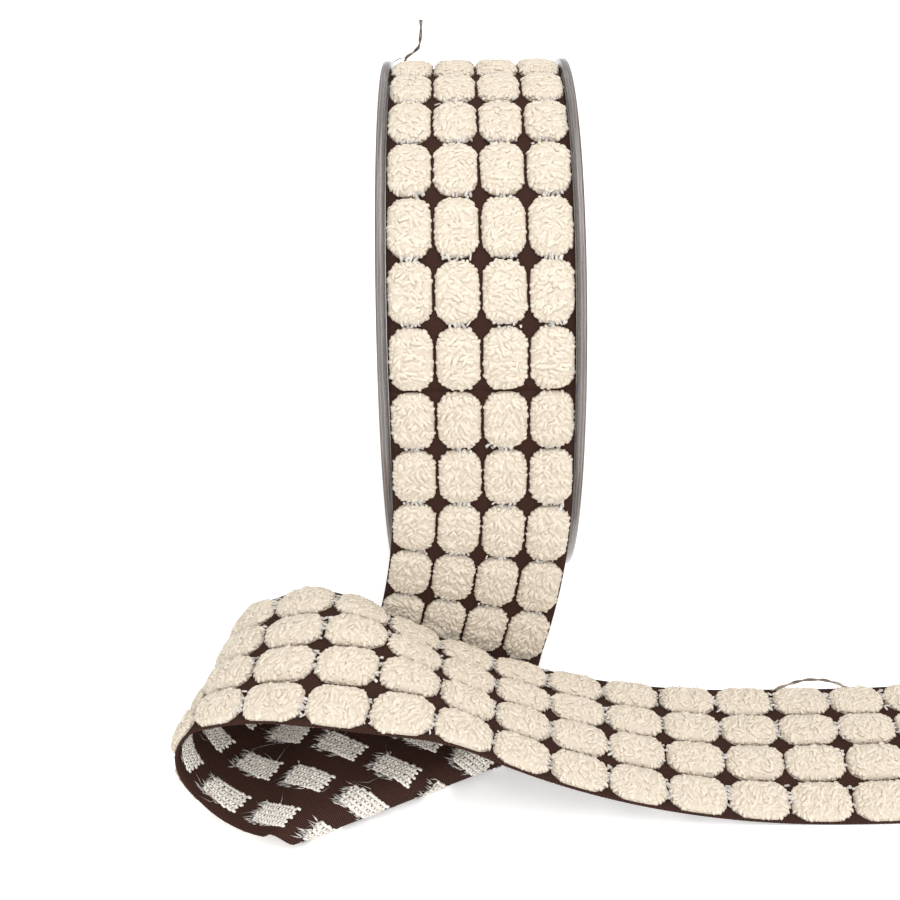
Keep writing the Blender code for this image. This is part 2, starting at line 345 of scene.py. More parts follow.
def core_inside():
    """The innermost turn's reverse on the tube: brown ground with four pale float patches to a row."""
    turn = np.linspace(0, 1, CORE_STEPS + 1)
    places = np.array([-CORE_EDGE, *PATCH_EDGES, CORE_EDGE])
    steps, across = np.meshgrid(turn, places, indexing="ij")
    points = around_reel(steps.ravel(), np.full(steps.size, CORE_RADIUS), across.ravel())
    faces, material_of = [], []
    for step in range(CORE_STEPS):
        for band in range(len(places) - 1):
            first = step * len(places) + band
            faces.append((first, first + 1, first + len(places) + 1, first + len(places)))
            material_of.append(1 if band % 2 == 1 and step % PATCH_EVERY < PATCH_STEPS else 0)
    return points, faces, material_of


def ground_weave(name, dark, light, thread):
    """The brown ground: a fine twill, its ribs in the piece's own flat coordinates, in millimetres."""
    finish, nodes, links, shader = new_finish(name)
    flat = nodes.new("ShaderNodeUVMap")
    flat.uv_map = "weave"
    turned_flat = nodes.new("ShaderNodeMapping")
    turned_flat.inputs["Rotation"].default_value = (0, 0, radians(28))
    links.new(flat.outputs["UV"], turned_flat.inputs["Vector"])
    ribs = nodes.new("ShaderNodeTexWave")
    ribs.inputs["Scale"].default_value = 0.31 / thread
    ribs.inputs["Distortion"].default_value = 1.5
    ribs.inputs["Detail"].default_value = 2.0
    links.new(turned_flat.outputs["Vector"], ribs.inputs["Vector"])
    lint = nodes.new("ShaderNodeTexNoise")
    lint.inputs["Scale"].default_value = 2.2
    lint.inputs["Detail"].default_value = 4.0
    links.new(flat.outputs["UV"], lint.inputs["Vector"])
    both = nodes.new("ShaderNodeMix")
    both.inputs["Factor"].default_value = 0.5
    links.new(ribs.outputs["Fac"], both.inputs["A"])
    links.new(lint.outputs["Fac"], both.inputs["B"])
    tones = ramp_of(nodes, links, both.outputs["Result"], [(0.25, dark), (0.75, light)])
    links.new(tones.outputs["Color"], shader.inputs["Base Color"])
    bump = nodes.new("ShaderNodeBump")
    bump.inputs["Strength"].default_value = 0.5
    bump.inputs["Distance"].default_value = 0.0002
    links.new(both.outputs["Result"], bump.inputs["Height"])
    links.new(bump.outputs["Normal"], shader.inputs["Normal"])
    shader.inputs["Roughness"].default_value = 0.95
    shader.inputs["Specular IOR Level"].default_value = 0.08
    return finish


def pile_edges(name):
    """The cream pile of the wound turns, seen on edge, and the pale floats on their reverse."""
    finish, nodes, links, shader = new_finish(name)
    where = nodes.new("ShaderNodeTexCoord")
    tufts = nodes.new("ShaderNodeTexNoise")
    tufts.inputs["Scale"].default_value = 900.0
    tufts.inputs["Detail"].default_value = 3.0
    links.new(where.outputs["Object"], tufts.inputs["Vector"])
    tones = ramp_of(nodes, links, tufts.outputs["Fac"], PILE_EDGE_TONES)
    links.new(tones.outputs["Color"], shader.inputs["Base Color"])
    bump = nodes.new("ShaderNodeBump")
    bump.inputs["Strength"].default_value = 0.8
    bump.inputs["Distance"].default_value = 0.0006
    links.new(tufts.outputs["Fac"], bump.inputs["Height"])
    links.new(bump.outputs["Normal"], shader.inputs["Normal"])
    shader.inputs["Roughness"].default_value = 1.0
    return finish


BROWN_DARK = (0.02, 0.0085, 0.0063)
BROWN_LIGHT = (0.063, 0.03, 0.0225)
WEAVE_THREAD = 0.38
PILE_EDGE_TONES = [(0.3, (0.36, 0.29, 0.21)), (0.7, (0.74, 0.66, 0.54))]
ground_finish = ground_weave("brown_ground", BROWN_DARK, BROWN_LIGHT, WEAVE_THREAD)
edge_finish = pile_edges("pile_edges")
points, faces, material_of = np.empty((0, 3)), [], []
for more_points, more_faces, more_material in (core_side(-1), core_side(1), core_inside()):
    faces += [tuple(len(points) + k for k in face) for face in more_faces]
    points = np.concatenate([points, more_points])
    material_of += more_material
flat = np.stack([points[:, 1] + points[:, 0], points[:, 2]], axis=1)
finishes = [ground_finish, edge_finish]
core = add_piece("wound_turns", points, faces, finishes, "ribbon_roll", material_of, flat)

# The outermost turn's ground: brown twill 40 mm wide, wound once round the turns below. The pile blocks
# stand on it in 28 rows.
WIDTH = 40.0
ROW = 13.45
ROWS_ROUND = 28


def slab(place, rows, row_steps, across_steps, back):
    """A strip's two faces and four edges, placed by a function of row, place across and height."""
    row = np.linspace(0, rows, rows * row_steps + 1)
    across = np.linspace(-WIDTH / 2, WIDTH / 2, across_steps + 1)
    grid_row, grid_t = (grid.ravel() for grid in np.meshgrid(row, across, indexing="ij"))
    face = place(grid_row, grid_t, np.zeros_like(grid_t))
    rear = place(grid_row, grid_t, np.full_like(grid_t, back))
    points = np.concatenate([face, rear])
    uv = np.stack([grid_t, grid_row * ROW], axis=1)
    count, wide = len(face), len(across)
    first = (np.arange(len(row) - 1)[:, None] * wide + np.arange(wide - 1)).ravel()
    top = np.stack([first, first + wide, first + wide + 1, first + 1], axis=1)
    under = top[:, ::-1] + count
    low = np.arange(len(row) - 1) * wide
    high = low + wide - 1
    low_edge = np.stack([low, low + count, low + count + wide, low + wide], axis=1)
    high_edge = np.stack([high, high + wide, high + wide + count, high + count], axis=1)
    start = np.arange(wide - 1)
    end = start + (len(row) - 1) * wide
    start_edge = np.stack([start, start + 1, start + 1 + count, start + count], axis=1)
    end_edge = np.stack([end, end + count, end + 1 + count, end + 1], axis=1)
    faces = np.concatenate([top, under, low_edge, high_edge, start_edge, end_edge])
    return points, faces.tolist(), np.concatenate([uv, uv])


def on_roll(row, t, height):
    """Points on the roll: rows past the loose end's line, across, and height above the ground."""
    turn = row / ROWS_ROUND
    return around_reel(turn, ground_radius(turn) + height, t)


points, faces, flat = slab(on_roll, ROWS_ROUND, row_steps=10, across_steps=20, back=-CLOTH)
roll_ground = add_piece("roll_ground", points, faces, [ground_finish], "ribbon_roll", uv=flat)

# The loose end's ground: one sheet of brown twill, 40 mm by 377 mm. It leaves the roll, drops, turns under
# itself on the floor, is folded back with its reverse up, curls up and over, and runs off along the floor.
TAIL_ROWS = 28
LIES_AT = 0.8
# The sheet isn't quite straight: it leans a little under the roll and again where it runs off.
Sway = namedtuple("Sway", "name start length angle")
SWAYS = [Sway("lean", 21.0, 42.0, -14.0), Sway("run_off", 319.0, 60.0, 9.0)]
# Each fold has a gap from the one before, the slant of its line, the angle that it turns and its radius.
# Those that settle are worked out so that the sheet comes to lie level, its face at LIES_AT over the floor.
Fold = namedtuple("Fold", "name gap slant angle radius")
SETTLES = None
LEVEL_RUN = 60.0
FOLDS = [
    Fold("on_reel", 0.0, 0.0, -3.9, GROUND_RADIUS),
    Fold("hang", 23.0, 0.0, -6.0, 140.0),
    Fold("foot", SETTLES, SETTLES, SETTLES, 11.0),
    Fold("crease", 24.5, 40.0, 170.0, 3.2),
    Fold("sag", 12.0, -15.0, 34.0, 16.0),
    Fold("curl_low", 1.0, -18.0, -69.0, 13.0),
    Fold("curl_mid", 0.0, -9.0, -114.0, 10.5),
    Fold("curl_top", 0.0, -19.0, -34.0, 40.0),
    Fold("brow", 0.0, 40.0, -33.0, 20.0),
    Fold("landing", SETTLES, SETTLES, SETTLES, 135.0),
]
# The middle of the sheet rises a little over the curl and the landing.
Crown = namedtuple("Crown", "fold offset rise")
CROWN_MARGIN = 3.0
CROWNS = [
    Crown("curl_top", -25.0, 0.0),
    Crown("curl_top", 0.0, 1.5),
    Crown("landing", -15.0, 1.5),
    Crown("landing", 15.0, 2.0),
    Crown("landing", 30.0, 2.0),
    Crown("landing", 46.0, 0.0),
]
# The rows of blocks lean where the cloth is drawn askew.
Lean = namedtuple("Lean", "row angle")
LEANS = [
    Lean(0.0, 0.0),
    Lean(7.0, 0.0),
    Lean(9.5, -16.0),
    Lean(12.0, -16.0),
    Lean(14.2, 4.0),
    Lean(28.0, 5.0),
]


def laid_flat(s, t, sways):
    """The ribbon's pattern laid flat: s along its middle and t to its left, as x, y and heading."""
    x, y, heading = np.zeros_like(s), np.zeros_like(s), np.zeros_like(s)
    reached = 0.0
    for sway in sways:
        run = np.clip(s - reached, -np.inf if reached == 0 else 0, sway.start - reached)
        part = np.clip(s - sway.start, 0, sway.length)
        turn = np.radians(sway.angle) * part / sway.length
        chord = part * np.sinc(turn / 2 / pi)
        x = x + run * np.cos(heading) + chord * np.cos(heading + turn / 2)
        y = y + run * np.sin(heading) + chord * np.sin(heading + turn / 2)
        heading = heading + turn
        reached = sway.start + sway.length
    run = np.maximum(s - reached, 0)
    x = x + run * np.cos(heading) - t * np.sin(heading)
    y = y + run * np.sin(heading) + t * np.cos(heading)
    return x, y, heading


def fold_lines(folds, sways):
    """Each fold's start on the flat pattern, with its direction and arc, and each fold's end."""
    lines, ends, reached = [], {}, 0.0
    for fold in folds:
        reached += fold.gap
        x, y, heading = laid_flat(np.array([reached]), np.array([0.0]), sways)
        arc = abs(radians(fold.angle)) * fold.radius
        lines.append((x[0], y[0], heading[0] + radians(fold.slant), arc, fold))
        reached += arc / cos(radians(fold.slant))
        ends[fold.name] = reached
    return lines, ends


def folded(s, t, height, folds, sways, start):
    """Where the ribbon's points lie once every fold is made, from the last one back to the roll."""
    flat_x, flat_y, _ = laid_flat(s, t, sways)
    x, y, z = flat_x, flat_y, height
    lines, _ = fold_lines(folds, sways)
    for from_x, from_y, way, arc, fold in reversed(lines):
        past = (flat_x - from_x) * cos(way) + (flat_y - from_y) * sin(way)
        ahead = (x - from_x) * cos(way) + (y - from_y) * sin(way)
        aside = (y - from_y) * cos(way) - (x - from_x) * sin(way)
        side = 1 if fold.angle > 0 else -1
        lever = fold.radius - side * z
        bend = np.where(past > arc, arc, ahead) / fold.radius
        beyond = np.where(past > arc, ahead - arc, 0.0)
        bent_ahead = lever * np.sin(bend) + beyond * np.cos(bend)
        bent_up = side * (fold.radius - lever * np.cos(bend) + beyond * np.sin(bend))
        ahead = np.where(past > 0, bent_ahead, ahead)
        z = np.where(past > 0, bent_up, z)
        x = from_x + ahead * cos(way) - aside * sin(way)
        y = from_y + ahead * sin(way) + aside * cos(way)
    origin, ahead_way, left_way, out_way = start
    return origin + np.outer(x, ahead_way) + np.outer(y, left_way) + np.outer(z, out_way)


def settling(fold, folds, sways, start):
    """The fold that lays the ribbon level, its face at LIES_AT, after the folds made so far."""
    reached = fold_lines(folds, sways)[1][folds[-1].name]
    far = reached + LEVEL_RUN
    along, across = np.array([far, far + 1, far]), np.array([0.0, 0.0, 1.0])
    places = folded(along, across, np.zeros(3), folds, sways, start)
    ahead = places[1] - places[0]
    left = places[2] - places[0]
    out = np.cross(ahead, left)
    uphill = np.array([0.0, 0.0, 1.0]) - out[2] * out
    side = -np.sign(uphill @ ahead)
    downhill = -side * uphill / np.linalg.norm(uphill)
    angle = np.arccos(out[2])
    slant = atan2(downhill @ left, downhill @ ahead)
    begins_at = LIES_AT + side * fold.radius * (1 - cos(angle))
    gap = far + (begins_at - places[0][2]) / ahead[2] - reached
    return Fold(fold.name, gap, np.degrees(slant), side * np.degrees(angle), fold.radius)


LEAVE_UP = radians(LEAVES_AT)
START = (
    np.array([0.0, -GROUND_RADIUS * cos(LEAVE_UP), AXLE_HEIGHT + GROUND_RADIUS * sin(LEAVE_UP)]),
    np.array([0, -sin(LEAVE_UP), -cos(LEAVE_UP)]),
    np.array([1.0, 0, 0]),
    np.array([0, -cos(LEAVE_UP), sin(LEAVE_UP)]),
)
made = []
for fold in FOLDS:
    made.append(settling(fold, made, SWAYS, START) if fold.gap is SETTLES else fold)
FOLD_ENDS = fold_lines(made, SWAYS)[1]


def on_tail(row, t, height):
    """Points on the loose end: rows from the roll, across, and height above the ground."""
    lean = np.interp(row, [lean.row for lean in LEANS], [lean.angle for lean in LEANS])
    s = ROW * row + t * np.tan(np.radians(lean))
    crown_places = [FOLD_ENDS[crown.fold] + crown.offset for crown in CROWNS]
    rise = np.interp(s, crown_places, [crown.rise for crown in CROWNS])
    arch = rise * np.maximum(0, 1 - (t / (WIDTH / 2 - CROWN_MARGIN)) ** 2)
    return folded(s, t, height + arch, made, SWAYS, START)


points, faces, flat = slab(on_tail, TAIL_ROWS, row_steps=14, across_steps=40, back=-CLOTH)
tail_ground = add_piece("tail_ground", points, faces, [ground_finish], "ribbon_tail", uv=flat)

# The pile: thick soft cream yarn, cut short and brushed into blocks, four to a row. Each block is a rounded
# bed with tufts half sunk in it, which lie as they are brushed and turn outwards at the block's edges. The
# bed is painted a deeper cream, as painted shade in the gaps between the tufts. Greyer tufts reach from the
# end of one row over the gap to the next.
COLUMN_MIDDLES = (-15.0, -5.0, 5.0, 15.0)
BLOCK_ACROSS = 4.75
BLOCK_ALONG = 6.6
BLOCK_SQUARENESS = 20
CORNER_LEAN = 1.3
CORNER_CUT = 1.8
BED = 1.75
BED_ROUNDING = 5
BED_FOOT = -0.2
# The bed's tone is painted shade: a deeper cream that darkens the gaps between the tufts.
BED_PAINTED_SHADE = 0.35
BED_SPOKES = 24
BED_LEVELS = (0.4, 0.7, 0.86, 0.95, 0.99)
TUFTS_ACROSS = 10
TUFTS_ALONG = 14
TUFT_SHIFT = 0.42
TUFT_LENGTH = (1.7, 2.9)
SHORTER_AT_EDGE = 0.38
TUFT_HALF_WIDTH = (0.38, 0.55)
TUFT_HALF_HEIGHT = 0.3
TUFT_LIFT = 0.06
TUFT_RINGS = ((0.18, 0.88), (0.82, 0.96))
TUFT_SECTION = ((1, -0.5), (0.7, 0.8), (-0.7, 0.8), (-1, -0.5))
TUFT_WITHIN = 0.93
EDGE_FROM = 0.65
EDGE_OVER = 0.25
END_TUFTS = 11
END_SPREAD = 3.0
END_TUFT_LENGTH = (0.95, 1.9)
END_TUFT_HALF_WIDTH = (0.2, 0.4)
END_TUFT_HALF_HEIGHT = 0.18
END_TUFT_LIFT = 0.05
PILE_TOP = 2.2


def reach_of(a, b):
    """How near a block's outline a place is, from 0 in its middle to 1. The corners are cut off."""
    u, v = np.abs(a) / BLOCK_ACROSS, np.abs(b) / BLOCK_ALONG
    corner = (u + CORNER_LEAN * v) / CORNER_CUT
    power = BLOCK_SQUARENESS
    return (u**power + v**power + corner**power) ** (1 / power) + 1e-9


def bed_height(a, b):
    """The pile bed's height over a block."""
    return BED * np.sqrt(np.clip(1 - reach_of(a, b) ** BED_ROUNDING, 0, 1))


def bed_blocks(blocks):
    """A bed under each block's tufts, as rings of points in block coordinates, its tone a painted shade
    between the tufts.
    """
    spokes = BED_SPOKES
    angle = np.arange(spokes) * 2 * pi / spokes
    a, b = [0.0], [0.0]
    for level in BED_LEVELS:
        out_a, out_b = BLOCK_ACROSS * np.cos(angle), BLOCK_ALONG * np.sin(angle)
        scale = level / reach_of(out_a, out_b)
        a.extend(out_a * scale)
        b.extend(out_b * scale)
    a, b = np.array(a), np.array(b)
    height = bed_height(a, b)
    height[-spokes:] = BED_FOOT
    faces = [(0, 1 + k, 1 + (k + 1) % spokes) for k in range(spokes)]
    for ring in range(len(BED_LEVELS) - 1):
        base = 1 + ring * spokes
        for k in range(spokes):
            after = (k + 1) % spokes
            faces.append((base + k, base + spokes + k, base + spokes + after, base + after))
    shape = (blocks, len(a))
    tone = np.full(shape, BED_PAINTED_SHADE)
    return [np.broadcast_to(value, shape) for value in (a, b, height)] + [tone], faces


def tufts_between(root, tip, half_width, half_height, lift, bow, tone):
    """Plump closed tufts of ten points, each bowed sideways a little, as block coordinates and faces."""
    (root_a, root_b, root_h), (tip_a, tip_b, tip_h) = root, tip
    way_a, way_b = tip_a - root_a, tip_b - root_b
    length = np.sqrt(way_a**2 + way_b**2) + 1e-9
    side_a, side_b = -way_b / length, way_a / length
    a, b, h = [root_a], [root_b], [root_h + 0 * length]
    for share, size in TUFT_RINGS:
        mid_h = root_h + share * (tip_h - root_h) + lift
        for across, up in TUFT_SECTION:
            aside = across * size * half_width + bow
            a.append(root_a + share * way_a + aside * side_a)
            b.append(root_b + share * way_b + aside * side_b)
            h.append(mid_h + up * size * half_height)
    a, b, h = (np.stack(line, axis=-1) for line in (a + [tip_a], b + [tip_b], h + [tip_h + 0 * length]))
    faces = []
    for k in range(4):
        after = (k + 1) % 4
        faces.append((0, 1 + after, 1 + k))
        faces.append((1 + k, 1 + after, 5 + after, 5 + k))
        faces.append((5 + k, 5 + after, 9))
    return [a, b, h, np.broadcast_to(tone[..., None], a.shape)], faces


def tuft_ways(a, b, lay, phase, rng):
    """Which way tufts lie: in slow waves, as brushed, and outwards by the edge, with the edge's share."""
    flow = rng.normal(0.15, 0.3, (len(a), 1)) + 0.5 * np.sin(0.8 * b + phase[0])
    flow = flow + 0.45 * np.sin(1.1 * a + phase[1]) + rng.normal(0, 0.3, a.shape)
    facing = np.where(a + rng.normal(0, 2.5, a.shape) > 0, 1.0, -1.0)
    way_a = (1 - 0.6 * np.abs(lay)) * facing * np.cos(flow)
    way_b = (1 - np.abs(lay)) * facing * np.sin(flow) + 1.1 * lay
    out_a, out_b = (a / BLOCK_ACROSS) ** 3, (b / BLOCK_ALONG) ** 3
    out = np.sqrt(out_a**2 + out_b**2) + 1e-6
    edge = np.clip((reach_of(a, b) - EDGE_FROM) / EDGE_OVER, 0, 1)
    way_a = (1 - edge) * way_a + edge * out_a / out + rng.normal(0, 0.18, a.shape)
    way_b = (1 - edge) * way_b + edge * (out_b / out + 0.5 * lay) + rng.normal(0, 0.18, a.shape)
    size = np.sqrt(way_a**2 + way_b**2) + 1e-6
    return way_a / size, way_b / size, edge


def tufts_of(blocks, rng, brushed):
    """The tufts of this many blocks, a row of tufts to each block, brushed ahead (1) or back (-1)."""
    count = TUFTS_ACROSS * TUFTS_ALONG
    shape = (blocks, count)
    cell = np.arange(count)
    a = ((cell % TUFTS_ACROSS + 0.5) / TUFTS_ACROSS * 2 - 1) * BLOCK_ACROSS
    b = ((cell // TUFTS_ACROSS + 0.5) / TUFTS_ALONG * 2 - 1) * BLOCK_ALONG
    a = a + rng.uniform(-TUFT_SHIFT, TUFT_SHIFT, shape)
    b = b + rng.uniform(-TUFT_SHIFT, TUFT_SHIFT, shape)
    pull = np.minimum(1, TUFT_WITHIN / reach_of(a, b))
    a, b = a * pull, b * pull
    phase = rng.uniform(0, 2 * pi, (4, blocks, 1))
    way_a, way_b, edge = tuft_ways(a, b, brushed[:, None], phase, rng)
    length = rng.uniform(*TUFT_LENGTH, shape) * (1 - SHORTER_AT_EDGE * edge)
    way_a, way_b = way_a * length, way_b * length
    root_a, root_b = a - 0.5 * way_a, b - 0.5 * way_b
    tip_a, tip_b = a + 0.5 * way_a, b + 0.5 * way_b
    at_row_end = np.clip((np.abs(tip_b) / BLOCK_ALONG - 0.75) / 0.2, 0, 1)
    limit = rng.uniform(0.97, 1.06, shape) + at_row_end * rng.uniform(-0.12, 0.11, shape)
    hold = np.minimum(1, limit / reach_of(tip_a, tip_b))
    tip_a, tip_b = tip_a * hold, tip_b * hold
    wave = 0.1 * np.sin(1.9 * b + 0.9 * np.sin(0.9 * a + phase[2]) + phase[3])
    layer = rng.uniform(-0.1, 0.12, shape) + wave
    root_h = bed_height(root_a, root_b) - 0.12 + layer
    tip_h = np.maximum(bed_height(tip_a, tip_b) - 0.05 + layer, rng.uniform(-0.1, 0.5, shape))
    half_width = rng.uniform(*TUFT_HALF_WIDTH, shape)
    # Each tuft's tone differs at random, and the wave that lifts it is added too: tufts on a wave's crest
    # are painted lighter and those in its trough darker, as painted light and shade.
    tone = rng.uniform(0.66, 1.0, shape) + wave
    bow = rng.normal(0, 0.16, shape)
    root, tip = (root_a, root_b, root_h), (tip_a, tip_b, tip_h)
    return tufts_between(root, tip, half_width, TUFT_HALF_HEIGHT, TUFT_LIFT, bow, tone)


def end_tufts_of(lines, ahead_share, rng):
    """Greyer tufts over the gap between two rows, some pointing ahead and the others back."""
    shape = (lines, END_TUFTS)
    a = rng.normal(0, 0.4, (lines, 1)) + rng.normal(0, 1.45, shape)
    a = np.clip(a, -END_SPREAD, END_SPREAD)
    end = np.where(rng.random(shape) < ahead_share, 1, -1)
    turn = rng.normal(0, 0.65, shape)
    length = rng.uniform(*END_TUFT_LENGTH, shape) * rng.uniform(0.55, 1.15, (lines, 1))
    from_b = -end * rng.uniform(0.6, 1.2, shape)
    root = (a, from_b, rng.uniform(0.7, 1.25, shape))
    tip = (a + length * np.sin(turn), from_b + end * length * np.cos(turn), rng.uniform(0.3, 1.1, shape))
    half_width, bow = rng.uniform(*END_TUFT_HALF_WIDTH, shape), rng.normal(0, 0.15, shape)
    tone = rng.uniform(0.0, 1.0, shape)
    return tufts_between(root, tip, half_width, END_TUFT_HALF_HEIGHT, END_TUFT_LIFT, bow, tone)


def gathered(groups, first_row, middle, place):
    """Points, faces and tone and height of groups of small shapes, each set on its block's middle."""
    all_points, all_faces, all_tones = [], [], []
    base = 0
    for (a, b, h, tone), faces in groups:
        shape = (len(first_row), -1, a.shape[-1])
        a, b, h, tone = (np.asarray(value).reshape(shape) for value in (a, b, h, tone))
        row = first_row[:, None, None] + b / ROW
        points = place(row.ravel(), (middle + a).ravel(), h.ravel())
        corners = h.shape[-1]
        starts = base + corners * np.arange(h.shape[0] * h.shape[1])
        for face in faces:
            all_faces.extend((starts[:, None] + np.array(face)).tolist())
        base += len(points)
        all_points.append(points)
        all_tones.append(np.stack([tone.ravel(), np.clip(h.ravel() / PILE_TOP, 0, 1)], axis=1))
    return np.concatenate(all_points), all_faces, np.concatenate(all_tones)


def soft_yarn(name, deep, low, high):
    """Soft yarn with a fine fibre grain and a tone for each tuft, which its first flat coordinate gives."""
    finish, nodes, links, shader = new_finish(name)
    flat = nodes.new("ShaderNodeUVMap")
    flat.uv_map = "weave"
    parts = nodes.new("ShaderNodeSeparateXYZ")
    links.new(flat.outputs["UV"], parts.inputs["Vector"])
    where = nodes.new("ShaderNodeTexCoord")
    fibres = nodes.new("ShaderNodeTexNoise")
    fibres.inputs["Scale"].default_value = 2600.0
    fibres.inputs["Detail"].default_value = 3.0
    links.new(where.outputs["Object"], fibres.inputs["Vector"])
    mixed = nodes.new("ShaderNodeMix")
    mixed.inputs["Factor"].default_value = 0.35
    links.new(parts.outputs["X"], mixed.inputs["A"])
    links.new(fibres.outputs["Fac"], mixed.inputs["B"])
    tones = ramp_of(nodes, links, mixed.outputs["Result"], [(0.1, deep), (0.45, low), (0.85, high)])
    links.new(tones.outputs["Color"], shader.inputs["Base Color"])
    bump = nodes.new("ShaderNodeBump")
    bump.inputs["Strength"].default_value = 0.35
    bump.inputs["Distance"].default_value = 0.0002
    links.new(fibres.outputs["Fac"], bump.inputs["Height"])
    links.new(bump.outputs["Normal"], shader.inputs["Normal"])
    shader.inputs["Roughness"].default_value = 1.0
    shader.inputs["Specular IOR Level"].default_value = 0.1
    return finish


cream = soft_yarn("cream_pile", (0.43, 0.358, 0.276), (0.61, 0.537, 0.44), (0.7, 0.627, 0.523))
grey = soft_yarn("grey_ends", (0.36, 0.335, 0.315), (0.52, 0.49, 0.46), (0.67, 0.635, 0.59))
tail_trim = []
STRIPS = (("roll", on_roll, ROWS_ROUND, "ribbon_roll"), ("tail", on_tail, TAIL_ROWS, "ribbon_tail"))
AHEAD_SHARE = {"roll": 0.25, "tail": 0.75}
BRUSHED = {"roll": ((0,), (-0.3,)), "tail": ((0, 6, 9), (0.7, 0.7, 0.25))}
for strip, place, rows, node in STRIPS:
    for column, middle in enumerate(COLUMN_MIDDLES, start=1):
        rng = np.random.default_rng(column + 10 * rows + len(tail_trim))
        brushed = np.interp(np.arange(rows), *BRUSHED[strip])
        groups = [bed_blocks(rows), tufts_of(rows, rng, brushed)]
        points, faces, flat = gathered(groups, np.arange(rows) + 0.5, middle, place)
        pile = add_piece(f"pile_{strip}_{column}", points, faces, [cream], node, uv=flat)
        groups = [end_tufts_of(rows - 1, AHEAD_SHARE[strip], rng)]
        points, faces, flat = gathered(groups, np.arange(1.0, rows), middle, place)
        ends = add_piece(f"row_ends_{strip}_{column}", points, faces, [grey], node, uv=flat)
        if strip == "tail":
            tail_trim += [pile, ends]

# The floats on the reverse: where a column's rows meet, the pile yarn crosses the loose end's back in five
# chains of stitches with short slanting bars between them. Loose fibres stand out at one end and along one
# side of each patch, and a few long hairs wander from it.
CHAINS = 5
CHAIN = 1.08
ZIGZAG = 0.07
STITCHES = 11
STITCH = 0.8
STAGGER = 0.35
STITCH_HALF = (0.14, 0.68)
STITCH_HALF_WIDTH = (0.32, 0.44)
BAR_HALF = 0.6
BAR_SLANT = 0.25
BAR_HALF_WIDTH = (0.34, 0.43)
FIBRES = 36
END_FIBRES = 24
PATCH_END = 4.2
LONG_HAIRS = 3
LONG_HAIR_LENGTH = (3.0, 8.5)
LONG_HAIR_HALF_WIDTH = 0.055
HAIR_MIDDLE = 0.45
HAIR_SECTION = ((1, -0.4), (0, 0.7), (-1, -0.4))


def hairs_between(root, tip, half_width, bow, tone):
    """Thin closed hairs of five points, as block coordinates and faces."""
    (root_a, root_b, root_h), (tip_a, tip_b, tip_h) = root, tip
    way_a, way_b = tip_a - root_a, tip_b - root_b
    length = np.sqrt(way_a**2 + way_b**2) + 1e-9
    side_a, side_b = -way_b / length, way_a / length
    a, b, h = [root_a], [root_b], [root_h]
    for across, up in HAIR_SECTION:
        aside = across * half_width + bow
        a.append(root_a + HAIR_MIDDLE * way_a + aside * side_a)
        b.append(root_b + HAIR_MIDDLE * way_b + aside * side_b)
        h.append((root_h + tip_h) / 2 + up * half_width)
    a, b, h = (np.stack(line, axis=-1) for line in (a + [tip_a], b + [tip_b], h + [tip_h]))
    faces = [(0, 2, 1), (0, 3, 2), (0, 1, 3), (1, 2, 4), (2, 3, 4), (3, 1, 4)]
    return [a, b, h, np.broadcast_to(tone[..., None], a.shape)], faces


def stitches_of(patches, rng):
    """The chains and bars of this many patches, on the back of the ground."""
    shape = (patches, CHAINS * STITCHES)
    cell = np.arange(CHAINS * STITCHES)
    chain, stitch = cell // STITCHES, cell % STITCHES
    zigzag = ZIGZAG * np.where(stitch % 2 == 0, 1, -1)
    a = (chain - (CHAINS - 1) / 2) * CHAIN + zigzag + rng.normal(0, 0.04, shape)
    b = (stitch - (STITCHES - 1) / 2 + STAGGER * (chain % 2)) * STITCH + rng.normal(0, 0.05, shape)
    back = np.full(shape, -CLOTH - 0.06)
    half_a, half_b = STITCH_HALF
    root, tip = (a - half_a, b - half_b, back), (a + half_a, b + half_b, back)
    half_width, tone = rng.uniform(*STITCH_HALF_WIDTH, shape), rng.uniform(0.4, 1.0, shape)
    chains = tufts_between(root, tip, half_width, 0.13, -0.04, rng.normal(0, 0.05, shape), tone)
    shape = (patches, (CHAINS - 1) * STITCHES)
    cell = np.arange((CHAINS - 1) * STITCHES)
    gap, stitch = cell // STITCHES, cell % STITCHES
    a = (gap - (CHAINS - 2) / 2) * CHAIN + rng.normal(0, 0.03, shape)
    b = (stitch - (STITCHES - 1) / 2 + STAGGER * (gap % 2) + 0.4) * STITCH + rng.normal(0, 0.06, shape)
    back = np.full(shape, -CLOTH - 0.1)
    slant = np.where(gap % 2 == 0, BAR_SLANT, -BAR_SLANT)
    root, tip = (a - BAR_HALF, b - slant, back), (a + BAR_HALF, b + slant, back)
    tone = rng.uniform(0.2, 0.8, shape)
    bars = hairs_between(root, tip, rng.uniform(*BAR_HALF_WIDTH, shape), 0 * tone, tone)
    return [chains, bars]


